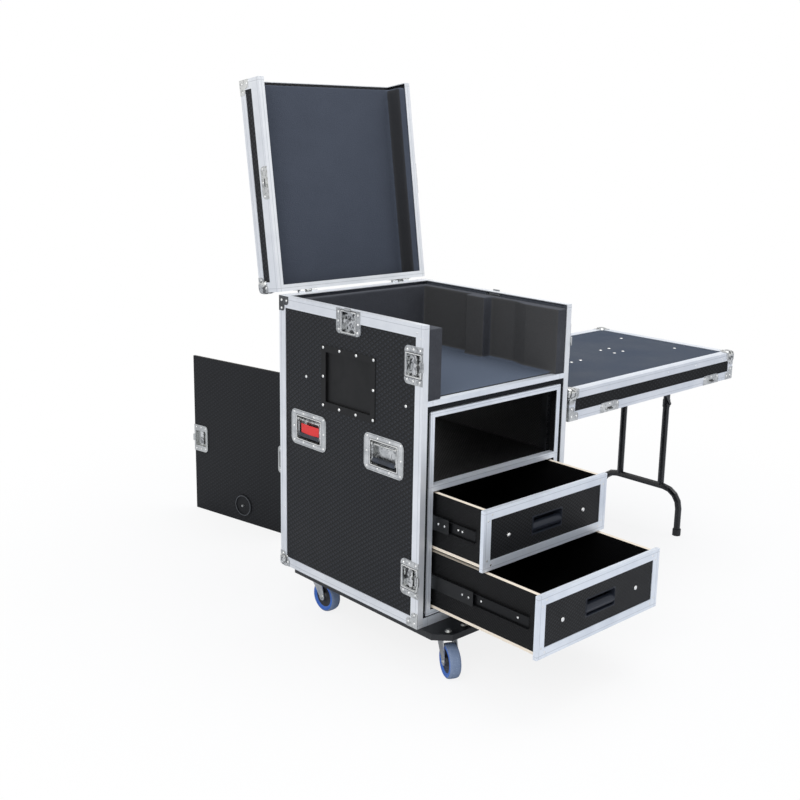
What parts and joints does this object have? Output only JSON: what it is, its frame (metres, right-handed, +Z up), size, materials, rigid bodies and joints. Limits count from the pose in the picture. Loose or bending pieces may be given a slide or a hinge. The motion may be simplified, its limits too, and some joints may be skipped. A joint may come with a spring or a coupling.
{
  "type": "road case with drawers",
  "caption": "Rolling road case with drawers, open rack bay, foam tray under a hinged lid, a rear panel, and a front cover that stands beside it as a folding-leg table.",
  "frame": {"origin": "on the floor under the middle of the whole set", "axes": "+Z up, the front of the case faces -Y, the table stands to the +X side and the rear panel to the +Y side"},
  "size_m": [1.623, 2.0006, 1.6372],
  "materials": {
    "laminate": "charcoal laminate with a raised diamond texture",
    "pale_laminate": "smooth blue-grey laminate",
    "black_panel": "black faced plywood",
    "black_plastic": "black pressing",
    "plywood": "birch plywood",
    "aluminium": "satin anodised extrusion",
    "zinc": "zinc plated pressing",
    "foam": "closed cell foam",
    "black_steel": "black powder coat",
    "grip_rubber": "moulded rubber grip",
    "wheel_rubber": "blue elastic rubber wheel"
  },
  "bodies": {
    "case": {"caster_board": "black_panel", "base_panel": "plywood", "label_dish": "black_plastic", "left_side_panel": "laminate", "right_side_panel": "laminate", "rear_upper_panel": "laminate", "tray_floor_panel": "plywood", "left_trim_frame": "aluminium", "right_trim_frame": "aluminium", "rear_trim_frame": "aluminium", "front_sill_trim": "aluminium", "tray_front_trim": "aluminium", "tray_foam": "foam", "shock_foam": "foam", "inner_sleeve": "plywood", "sleeve_trim": "aluminium", "left_rail_and_runners": "black_steel", "right_rail_and_runners": "black_steel", "left_front_handle_dish": "zinc", "left_rear_handle_dish": "zinc", "right_front_handle_dish": "zinc", "right_rear_handle_dish": "zinc"},
    "lid": {"lid_shell": "laminate", "lid_trim": "aluminium", "lid_foam": "foam"},
    "left_front_handle": {"left_front_handle_bail": "grip_rubber"},
    "left_rear_handle": {"left_rear_handle_bail": "grip_rubber"},
    "left_upper_cover_latch": {"left_upper_cover_latch_wing": "zinc"},
    "left_lower_cover_latch": {"left_lower_cover_latch_wing": "zinc"},
    "left_lid_latch": {"left_lid_latch_wing": "zinc"},
    "right_front_handle": {"right_front_handle_bail": "grip_rubber"},
    "right_rear_handle": {"right_rear_handle_bail": "grip_rubber"},
    "right_upper_cover_latch": {"right_upper_cover_latch_wing": "zinc"},
    "right_lower_cover_latch": {"right_lower_cover_latch_wing": "zinc"},
    "right_lid_latch": {"right_lid_latch_wing": "zinc"},
    "upper_drawer": {"upper_drawer_box": "black_panel", "upper_drawer_trim": "aluminium"},
    "upper_drawer_slides": {"upper_left_slide": "zinc", "upper_right_slide": "zinc"},
    "lower_drawer": {"lower_drawer_box": "black_panel", "lower_drawer_trim": "aluminium"},
    "lower_drawer_slides": {"lower_left_slide": "zinc", "lower_right_slide": "zinc"},
    "front_left_caster": {"front_left_fork": "zinc"},
    "front_left_wheel_body": {"front_left_wheel": "wheel_rubber"},
    "rear_left_caster": {"rear_left_fork": "zinc"},
    "rear_left_wheel_body": {"rear_left_wheel": "wheel_rubber"},
    "front_right_caster": {"front_right_fork": "zinc"},
    "front_right_wheel_body": {"front_right_wheel": "wheel_rubber"},
    "rear_right_caster": {"rear_right_fork": "zinc"},
    "rear_right_wheel_body": {"rear_right_wheel": "wheel_rubber"},
    "table": {"table_cover_shell": "pale_laminate", "table_cover_trim": "aluminium"},
    "left_leg": {"left_table_leg": "black_steel"},
    "left_brace": {"left_table_brace": "black_steel"},
    "right_leg": {"right_table_leg": "black_steel"},
    "right_brace": {"right_table_brace": "black_steel"},
    "rear_panel_body": {"rear_panel": "laminate"},
    "rear_panel_outer_latch": {"rear_panel_outer_latch_wing": "zinc"},
    "rear_panel_inner_latch": {"rear_panel_inner_latch_wing": "zinc"}
  },
  "joints": [
    {"name": "lid_hinge", "type": "hinge", "parent": "case", "child": "lid", "pos_m": [-0.50502, 0.03477, 1.0054], "axis": [1, 0, 0], "range_deg": [0, 98.6]},
    {"name": "left_front_handle_lift", "type": "hinge", "parent": "case", "child": "left_front_handle", "pos_m": [-0.79802, -0.44973, 0.636], "axis": [0, 1, 0], "range_deg": [0, 90], "stiffness_Nm_per_rad": 0.15},
    {"name": "left_rear_handle_lift", "type": "hinge", "parent": "case", "child": "left_rear_handle", "pos_m": [-0.79802, -0.11073, 0.636], "axis": [0, 1, 0], "range_deg": [0, 90], "stiffness_Nm_per_rad": 0.15},
    {"name": "left_upper_cover_latch_turn", "type": "hinge", "parent": "case", "child": "left_upper_cover_latch", "pos_m": [-0.79902, -0.56673, 0.89], "axis": [-1, 0, 0], "range_deg": [0, 180]},
    {"name": "left_lower_cover_latch_turn", "type": "hinge", "parent": "case", "child": "left_lower_cover_latch", "pos_m": [-0.79902, -0.56673, 0.287], "axis": [-1, 0, 0], "range_deg": [0, 180]},
    {"name": "left_lid_latch_turn", "type": "hinge", "parent": "case", "child": "left_lid_latch", "pos_m": [-0.79902, -0.29473, 0.965], "axis": [-1, 0, 0], "range_deg": [0, 180]},
    {"name": "right_front_handle_lift", "type": "hinge", "parent": "case", "child": "right_front_handle", "pos_m": [-0.21202, -0.44973, 0.636], "axis": [0, -1, 0], "range_deg": [0, 90], "stiffness_Nm_per_rad": 0.15},
    {"name": "right_rear_handle_lift", "type": "hinge", "parent": "case", "child": "right_rear_handle", "pos_m": [-0.21202, -0.11073, 0.636], "axis": [0, -1, 0], "range_deg": [0, 90], "stiffness_Nm_per_rad": 0.15},
    {"name": "right_upper_cover_latch_turn", "type": "hinge", "parent": "case", "child": "right_upper_cover_latch", "pos_m": [-0.21102, -0.56673, 0.89], "axis": [1, 0, 0], "range_deg": [0, 180]},
    {"name": "right_lower_cover_latch_turn", "type": "hinge", "parent": "case", "child": "right_lower_cover_latch", "pos_m": [-0.21102, -0.56673, 0.287], "axis": [1, 0, 0], "range_deg": [0, 180]},
    {"name": "right_lid_latch_turn", "type": "hinge", "parent": "case", "child": "right_lid_latch", "pos_m": [-0.21102, -0.29473, 0.965], "axis": [1, 0, 0], "range_deg": [0, 180]},
    {"name": "upper_drawer_travel", "type": "slide", "parent": "case", "child": "upper_drawer", "axis": [0, -1, 0], "range_m": [-0.186, 0.214]},
    {"name": "upper_slides_travel", "type": "slide", "parent": "case", "child": "upper_drawer_slides", "axis": [0, -1, 0], "range_m": [-0.093, 0.107]},
    {"name": "lower_drawer_travel", "type": "slide", "parent": "case", "child": "lower_drawer", "axis": [0, -1, 0], "range_m": [-0.384, 0.016]},
    {"name": "lower_slides_travel", "type": "slide", "parent": "case", "child": "lower_drawer_slides", "axis": [0, -1, 0], "range_m": [-0.192, 0.008]},
    {"name": "front_left_swivel", "type": "hinge", "parent": "case", "child": "front_left_caster", "pos_m": [-0.71502, -0.62873, 0.11], "axis": [0, 0, 1], "continuous": true},
    {"name": "front_left_wheel_spin", "type": "hinge", "parent": "front_left_caster", "child": "front_left_wheel_body", "pos_m": [-0.72959, -0.66056, 0.05], "axis": [-0.9092, 0.4163, 0], "continuous": true},
    {"name": "rear_left_swivel", "type": "hinge", "parent": "case", "child": "rear_left_caster", "pos_m": [-0.71502, -0.05373, 0.11], "axis": [0, 0, 1], "continuous": true},
    {"name": "rear_left_wheel_spin", "type": "hinge", "parent": "rear_left_caster", "child": "rear_left_wheel_body", "pos_m": [-0.71502, -0.08873, 0.05], "axis": [-1, 0, 0], "continuous": true},
    {"name": "front_right_swivel", "type": "hinge", "parent": "case", "child": "front_right_caster", "pos_m": [-0.29502, -0.62873, 0.11], "axis": [0, 0, 1], "continuous": true},
    {"name": "front_right_wheel_spin", "type": "hinge", "parent": "front_right_caster", "child": "front_right_wheel_body", "pos_m": [-0.27752, -0.65904, 0.05], "axis": [-0.866, -0.5, 0], "continuous": true},
    {"name": "rear_right_swivel", "type": "hinge", "parent": "case", "child": "rear_right_caster", "pos_m": [-0.29502, -0.05373, 0.11], "axis": [0, 0, 1], "continuous": true},
    {"name": "rear_right_wheel_spin", "type": "hinge", "parent": "rear_right_caster", "child": "rear_right_wheel_body", "pos_m": [-0.30699, -0.08662, 0.05], "axis": [-0.9397, 0.342, 0], "continuous": true},
    {"name": "table_lift", "type": "slide", "parent": "case", "child": "table", "axis": [0, 0, 1], "range_m": [0, 0.3]},
    {"name": "left_leg_fold", "type": "hinge", "parent": "table", "child": "left_leg", "pos_m": [-0.01733, -0.26395, 0.6507], "axis": [0.0209, -0.9998, 0], "range_deg": [0, 90]},
    {"name": "left_brace_fold", "type": "hinge", "parent": "table", "child": "left_brace", "pos_m": [0.11264, -0.26123, 0.6507], "axis": [0.0209, -0.9998, 0], "range_deg": [0, 130.83]},
    {"name": "right_leg_fold", "type": "hinge", "parent": "table", "child": "right_leg", "pos_m": [0.70351, -0.24885, 0.6817], "axis": [-0.0209, 0.9998, 0], "range_deg": [0, 90]},
    {"name": "right_brace_fold", "type": "hinge", "parent": "table", "child": "right_brace", "pos_m": [0.57354, -0.25157, 0.6817], "axis": [-0.0209, 0.9998, 0], "range_deg": [0, 130.83]},
    {"name": "rear_panel_lift", "type": "slide", "parent": "case", "child": "rear_panel_body", "axis": [0, 0, 1], "range_m": [0, 0.3]},
    {"name": "rear_panel_outer_latch_turn", "type": "hinge", "parent": "rear_panel_body", "child": "rear_panel_outer_latch", "pos_m": [-0.49946, 0.96139, 0.29], "axis": [-0.9839, -0.1788, 0], "range_deg": [0, 180]},
    {"name": "rear_panel_inner_latch_turn", "type": "hinge", "parent": "rear_panel_body", "child": "rear_panel_inner_latch", "pos_m": [-0.41971, 0.52258, 0.29], "axis": [-0.9839, -0.1788, 0], "range_deg": [0, 180]}
  ],
  "couplings": [
    {"joint": "upper_slides_travel", "follows": "upper_drawer_travel", "ratio": 0.5},
    {"joint": "lower_slides_travel", "follows": "lower_drawer_travel", "ratio": 0.5},
    {"joint": "left_brace_fold", "follows": "left_leg_fold", "ratio": 1.4531},
    {"joint": "right_brace_fold", "follows": "right_leg_fold", "ratio": 1.4531}
  ]
}
